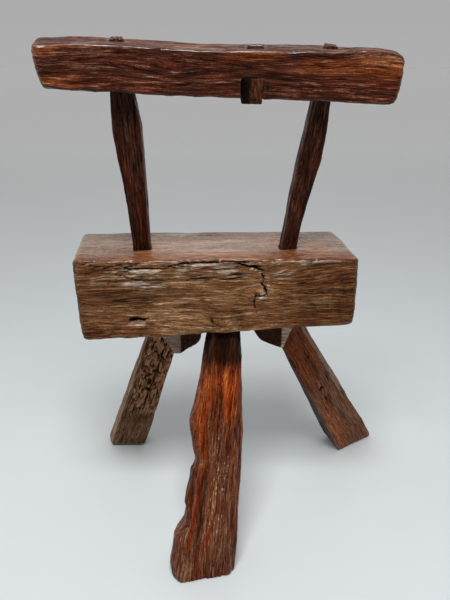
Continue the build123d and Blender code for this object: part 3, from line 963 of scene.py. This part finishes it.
def make_spindle(node, seed, material):
    """A dark hewn spindle with a lazy swelling, and a lighter tenon end on top of the rail."""
    c = Carving(node, 1.0, long_axis(node), seed)
    c.soften(3, 12, 30)
    share = c.width_share()
    if node == "back_spindle_left":
        swell, left, right, foot_darkening = bump(c.s, 0.7, 0.26), 4.0, 1.5, 0.38
    else:
        swell, left, right, foot_darkening = bump(c.s, 0.58, 0.34), 1.2, 2.6, 0.16
    c.shift(1, swell * (right * ramp(share, 0.4, 1.0) - left * ramp(share, 0.6, 0.0)))
    c.wavy(2.0, 60, 14)
    c.hew(24, 0.8)
    c.fibres(40, 3.4, 0.5, 110, 1.0, 0.3)
    c.checks(40, 5, 0.6, 0.8, 140)
    c.wear(0.9)
    c.add("tone", ramp(c.streaks(70, 9, 31), -0.05, 0.5))
    c.add("shade", ramp(c.s, 0.5, 0.1) * foot_darkening)
    rail_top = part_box("back_rail")[1][2] / MM
    c.add("tone", ramp(c.points[:, 2], rail_top - 14, rail_top - 6))
    c.finish(material)


def make_rear_leg():
    """Straight glossy grain: orange heartwood above and down the left, grey-brown on the flare."""
    c = Carving("rear_leg", 1.35, leg_axis("rear_leg"), 47)
    c.soften(4, 26, 40)
    c.round_foot(6, 6, deep=0.0)
    share = c.width_share()
    shape_rear_leg(c, share)
    c.hew(30, 1.2)
    c.fibres(110, 5.0, 1.0, 110, 1.0, 0.12)
    c.fibres(50, 2.8, 0.5, 120, 1.0, 0.12)
    c.checks(60, 8, 0.6, 1.4, 140, 0.7, 0.7)
    c.wear(0.9)
    # the foot is turned a little, so that its left corner is closest to the camera
    c.points[:, 1] += ramp(c.s, 0.16, 0.0) * (share - 0.45) * 15
    tint_rear_leg(c, share + 0.05 * c.streaks(90, 14, 34))
    c.finish(rear_leg_wood())


def shape_rear_leg(c, share):
    """The leg's uneven left side, and a sliver of old outer wood that stands out low on it."""
    left = ramp(share, 0.5, 0.0)
    c.shift(1, -left * (5.0 * ramp(c.s, 0.1, 0.0) + 3.0 * bump(c.s, 0.51, 0.08)))
    c.shift(1, left * (5.0 * bump(c.s, 0.185, 0.055) + 2.5 * bump(c.s, 0.4, 0.045)))
    c.shift(1, 2.0 * ramp(share, 0.5, 1.0))
    c.wavy(3.0, 120, 20)
    sliver = ramp(c.s, 0.225, 0.25) * ramp(c.s, 0.38, 0.36) * ramp(share, 0.1, 0.0)
    c.rise += sliver * (1.8 + 2.6 * ramp(c.s, 0.34, 0.27))
    c.add("shade", ramp(sliver, 0.1, 0.5) * 0.5)


def tint_rear_leg(c, u):
    """The colours of the leg, with the seat's shadow painted on at its head. u runs from its left
    side to its right, and wavers a little.
    """
    c.add("tone", bump(u, 0.2, 0.24) * ramp(c.s, 0.36, 0.46) * 0.95)
    c.add("tone", bump(u, 0.76, 0.24) * ramp(c.s, 0.48, 0.58) * 0.95)
    c.add("tone", ramp(c.s, 0.5, 0.7) * 0.45)
    c.add("tone", ramp(c.streaks(150, 8, 31), 0.2, 0.7) * 0.5)
    c.strip([(0.44, 0.38), (0.34, 0.35), (0.22, 0.29), (0.06, 0.22)], 13, 0.66, 0.6, "tone")
    c.strip([(0.42, 0.36), (0.34, 0.34), (0.22, 0.28), (0.08, 0.22)], 10, 0.8, 0.0, "red")
    c.strip([(0.4, 0.58), (0.25, 0.58), (0.08, 0.55)], 7, 0.45, 0.3, "tone")
    c.strip([(0.48, 0.5), (0.3, 0.46), (0.12, 0.38)], 5, 0.3, -0.6, "shade")
    c.strip([(0.52, 0.72), (0.3, 0.76), (0.1, 0.76)], 5, 0.3, -0.6, "shade")
    c.strip([(0.46, 0.32), (0.4, 0.35)], 10, 0.35, -0.6, "shade")
    c.cut([(0.8, 0.6), (0.66, 0.585), (0.5, 0.575)], 1.6, 1.5, tint=0.7, blunt=0.3, wander=0.6)
    flecks = ramp(c.streaks(5, 2.0, 35, 2), 0.36, 0.56) * bump(u, 0.58, 0.3)
    c.add("pale", ramp(flecks * bump(c.s, 0.34, 0.3), 0.1, 0.5) * 0.85)
    c.add("tone", bump(u, 0.56, 0.14) * bump(c.s, 0.25, 0.22) * 0.3)
    c.add("pale", bump(u, 0.54, 0.16) * bump(c.s, 0.24, 0.2) * 0.25)
    c.strip([(0.34, 0.35), (0.22, 0.29), (0.06, 0.22)], 16, 0.3, 0.0, "shade")
    c.add("red", bump(u, 0.48, 0.22) * ramp(c.s, 0.45, 0.6) + ramp(u, 0.8, 1.0) * 0.5)
    c.add("red", ramp(c.streaks(150, 10, 36), 0.0, 0.6) * 0.7)
    # painted shadow of the seat over the leg's head, with some dark patina there too
    c.add("shade", ramp(c.s + 0.03 * c.streaks(24, 7, 33), 0.67, 0.75) * 0.98)
    c.add("shade", ramp(c.s, 0.1, 0.0) * 0.15)


def make_left_leg():
    """Dull grey-brown, with worm galleries over its upper half."""
    c = Carving("front_leg_left", 1.25, leg_axis("front_leg_left"), 59)
    c.soften(4, 18, 35)
    c.round_foot(9, 10)
    c.wavy(3.0, 80, 18)
    c.hew(30, 1.0)
    c.fibres(50, 4.2, 0.6, 110, 1.0, 0.2)
    c.checks(50, 7, 0.7, 1.0, 140, 0.7)
    c.wear(0.7)
    u = c.width_share()
    face = ramp(c.side, 0.2, 0.6)
    eaten = face * ramp(c.s + 0.08 * c.spots(16, 81), 0.24, 0.36) * ramp(c.s, 0.88, 0.8)
    eaten *= ramp(u + 0.1 * c.spots(14, 82), 0.12, 0.26)
    gallery = ramp(np.abs(c.streaks(16, 9.0, 83, 1)), 0.13, 0.05)
    gallery = gallery * ramp(c.spots(12, 84, 1), -0.1, 0.2)
    pits = ramp(c.streaks(9, 6.0, 85, 1), 0.34, 0.5)
    bored = np.maximum(gallery, pits) * eaten
    c.rise += (1.8 * c.streaks(12, 6, 87, 2) - 3.4 * bored) * eaten
    # painted shade in the galleries and pits; the ridges between them paler, as raw wood with
    # painted highlight
    c.add("shade", bored * 0.4)
    c.add("crack", ramp(bored, 0.6, 1.0) * pits * 0.5)
    c.add("pale", eaten * (1 - bored) * ramp(c.streaks(16, 5, 86), -0.5, 0.1))
    c.add("red", eaten * 0.5 + 0.2)
    furrow = [(0.84, 0.66), (0.62, 0.63), (0.44, 0.62), (0.3, 0.6)]
    c.cut(furrow, 3.0, 3.5, tint=0.8, blunt=0.3, wander=2.0)
    right = ramp(u, 0.55, 0.85) * ramp(c.s, 0.25, 0.42)
    c.add("tone", right * 0.75 + 0.3 * c.streaks(90, 12, 31) + eaten * 0.3)
    c.add("pale", ramp(-c.normals @ RIGHTWARD, 0.3, 0.6))
    c.finish(left_leg_wood())


def make_right_leg():
    """Red-brown, with a small knot hole and an orange streak down its middle."""
    c = Carving("front_leg_right", 1.25, leg_axis("front_leg_right"), 61)
    c.soften(4, 18, 35)
    c.round_foot(15, 7)
    c.round_off(50, ramp(c.s, 0.14, 0.05))
    c.wavy(3.0, 80, 18)
    c.eddy(0.43, 0.52, 22, 8, 5)
    c.hew(30, 1.0)
    c.fibres(60, 4.2, 0.6, 110, 1.0, 0.2)
    c.checks(50, 7, 0.7, 1.0, 140, 0.7)
    c.wear(0.7)
    c.hole(0.43, 0.52, 8, 5, 3.0)
    u = c.width_share()
    streak = bump(u, 0.38, 0.38) * ramp(c.s, 0.8, 0.6)
    c.add("tone", streak * 0.8 + 0.5 * c.streaks(110, 12, 31))
    c.add("tone", ramp(c.s, 0.4, 0.6) * 0.6)
    c.add("red", ramp(c.s, 0.4, 0.65) * 0.75 + 0.15)
    c.add("shade", ramp(c.s, 0.5, 0.75) * 0.25)
    # painted shade: darker towards the left edge and the shaded inner flank
    c.add("shade", ramp(u, 0.26, 0.08) * 0.45)
    c.strip([(0.75, 0.66), (0.62, 0.58), (0.45, 0.55)], 9, 0.35, -0.5, "shade")
    # its outer edge is pale and grey above; its inner flank is painted dark, as the shade it stands
    # in
    outer = ramp(u, 0.84, 0.9) * ramp(c.s, 0.24, 0.44)
    c.add("pale", outer * 0.85)
    c.fields["red"] *= 1 - 0.7 * outer
    c.fields["shade"] *= 1 - 0.7 * outer
    c.add("shade", ramp(-c.normals @ RIGHTWARD, 0.2, 0.6) * 0.8)
    c.finish(right_leg_wood())


def make_brace(node, seed, material):
    """A sawn block under the seat: grey where it was sawn, dark brown elsewhere, with painted shade
    on the brown flanks, darkest next to the seat.
    """
    c = Carving(node, 0.9, RIGHTWARD, seed)
    c.soften(3, 16, 20)
    head = c.points[:, 2].max()
    left = node == "brace_block_left"
    inner = c.s if left else 1 - c.s  # 1 at the end nearest the stool's middle
    if left:
        # its free end is a rounded lobe
        half = (head - c.points[inner > 0.97, 2].min()) / 2
        away = np.clip((c.points[:, 2] - (head - half)) / half, -1, 1)
        c.shift(0, 8.0 * (np.sqrt(1 - away**2) - 1) * ramp(inner, 0.82, 1.0))
        c.shift(0, 3.0 * ramp(inner, 0.6, 1.0))
        sawn = ramp(c.side, 0.6, 0.9)
    else:
        # its free end runs out to a point
        thickness = 0.45 + 0.55 * ramp(inner, 1.0, 0.76)
        c.points[:, 2] = head - (head - c.points[:, 2]) * thickness
        c.shift(0, -6.0 * ramp(inner, 0.5, 1.0))
        sawn = ramp(inner, 0.36, 0.3)
        c.add("pale", sawn)
    below = head - c.points[:, 2]
    c.round_off(60, ramp(below, 3, 10) * ramp(inner, 0.55, 0.8))
    c.fibres(30, 3.0, 0.4, 110, 1.0, 0.3)
    c.wear(0.6)
    c.add("tone", 1 - sawn)
    c.add("red", (1 - sawn) * 0.4)
    # painted shade: the flanks darker, and darkest in the gap under the seat
    c.add("shade", (1 - sawn) * (0.2 + 0.6 * ramp(head - c.points[:, 2], 6, 2)))
    c.finish(material)


def make_wedge(node, seed, material):
    """A split wedge, driven into a tenon's end."""
    c = Carving(node, 0.6, UP, seed)
    c.soften(1, 3, 10)
    c.fibres(20, 1.6, 0.12, 110, 1.0, 0.4)
    c.finish(material)


def tint_nails():
    """The nails stay as the CAD nodes, in forged iron."""
    iron = forged_iron()
    for node in ("brace_nails_left", "brace_nails_right"):
        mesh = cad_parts[node].data
        mesh.materials.clear()
        mesh.materials.append(iron)


# ---- stage


def make_floor():
    """A wide pale floor under the feet."""
    half = 30.0
    mesh = bpy.data.meshes.new("floor")
    corners = [(-half, -half, 0), (half, -half, 0), (half, half, 0), (-half, half, 0)]
    mesh.from_pydata(corners, [], [(0, 1, 2, 3)])
    mesh.materials.append(glowing_pale_floor())
    floor = link(bpy.data.objects.new("floor", mesh))
    floor.visible_glossy = False  # the waxed faces mirror the dim side of the room instead


def make_camera():
    """Close behind the stool, as high as its rail, turned a little right and tipped down."""
    tipped_down, turned_right = 22.4, 1.8
    data = bpy.data.cameras.new("camera")
    data.sensor_fit = "VERTICAL"
    data.sensor_height = 36.0
    data.lens = 36.0
    camera = link(bpy.data.objects.new("camera", data))
    camera.location = (-0.0622, -0.8313, 0.7024)
    camera.rotation_euler = (math.radians(90 - tipped_down), 0.0, math.radians(-turned_right))
    bpy.context.scene.camera = camera


def make_lamp():
    """A soft lamp high on the camera's side."""
    data = bpy.data.lights.new("lamp", "AREA")
    data.shape = "RECTANGLE"
    data.size, data.size_y = 0.9, 0.6
    data.energy = 38
    data.color = (1.0, 0.985, 0.965)
    lamp = link(bpy.data.objects.new("lamp", data))
    place = np.array((-0.15, -1.0, 2.1))
    way = np.array((0, 0, 0.2)) - place
    lamp.location = place
    tilt = math.atan2(math.hypot(way[0], way[1]), -way[2])
    lamp.rotation_euler = (tilt, 0.0, math.atan2(way[1], way[0]) - math.pi / 2)


def make_room():
    """Light from all round, dim on the camera's side. The camera itself sees a plain grey wall."""
    world = bpy.data.worlds.new("room")
    world.use_nodes = True
    room = Nodes(world.node_tree)
    way = room.node("ShaderNodeSeparateXYZ")
    room.join(room.node("ShaderNodeTexCoord").outputs["Generated"], way.inputs[0])
    light = room.tree.nodes["Background"]
    light.inputs["Color"].default_value = (1.0, 0.985, 0.97, 1.0)
    room.join(room.spread(way.outputs["Y"], -0.5, 0.6, 0.08, 0.68), light.inputs["Strength"])
    wall = room.node("ShaderNodeBackground")
    wall.inputs["Color"].default_value = linear(175, 174, 174)
    room.join(room.spread(way.outputs["Z"], 0.0, 0.075, 1.0, 0.96), wall.inputs["Strength"])
    seen = room.node("ShaderNodeMixShader")
    room.join(room.node("ShaderNodeLightPath").outputs["Is Camera Ray"], seen.inputs[0])
    room.join(light.outputs[0], seen.inputs[1])
    room.join(wall.outputs[0], seen.inputs[2])
    room.join(seen.outputs[0], room.tree.nodes["World Output"].inputs["Surface"])
    bpy.context.scene.world = world
    bpy.context.scene.view_settings.view_transform = "Standard"


def make_stool():
    make_seat()
    make_rail()
    make_stub()
    spindle = spindle_wood()
    make_spindle("back_spindle_left", 37, spindle)
    make_spindle("back_spindle_right", 41, spindle)
    make_rear_leg()
    make_left_leg()
    make_right_leg()
    brace = brace_wood()
    make_brace("brace_block_left", 67, brace)
    make_brace("brace_block_right", 71, brace)
    wedge = wedge_wood()
    wedges = (
        "spindle_wedge_left",
        "spindle_wedge_right",
        "rear_leg_wedge",
        "front_leg_wedge_left",
        "front_leg_wedge_right",
    )
    for k, node in enumerate(wedges):
        make_wedge(node, 80 + k, wedge)
    tint_nails()


make_camera()
make_floor()
make_lamp()
make_room()
make_stool()
